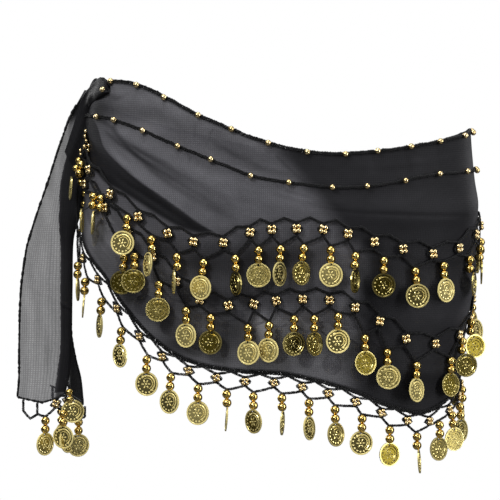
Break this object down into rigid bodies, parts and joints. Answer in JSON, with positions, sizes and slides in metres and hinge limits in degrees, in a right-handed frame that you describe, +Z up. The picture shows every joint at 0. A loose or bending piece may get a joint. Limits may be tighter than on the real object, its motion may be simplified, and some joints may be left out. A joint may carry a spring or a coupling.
{
  "type": "belly dance hip scarf, filled out as worn",
  "caption": "Sheer black hip scarf tied at one hip, with rows of gold beads and coins hung on crocheted net.",
  "frame": {"origin": "middle of the hips that hold the scarf up, at the height of the knot", "axes": "+Z up, +X to the side away from the knot, -Y to the front"},
  "size_m": [0.4034, 0.2503, 0.3338],
  "materials": {
    "chiffon": "sheer matt weave",
    "yarn": "matt crocheted yarn",
    "gold": "polished and stamped"
  },
  "bodies": {
    "root": {"panel_front": "chiffon", "panel_back": "chiffon", "tie_front": "chiffon", "tie_back": "chiffon", "knot": "chiffon", "edge_yarn": "yarn", "bead_line_yarn": "yarn", "hem_yarn": "yarn", "fringe_upper": "gold", "fringe_middle": "gold", "fringe_hem": "gold", "fringe_tie_front": "gold", "fringe_tie_back": "gold"}
  },
  "joints": []
}
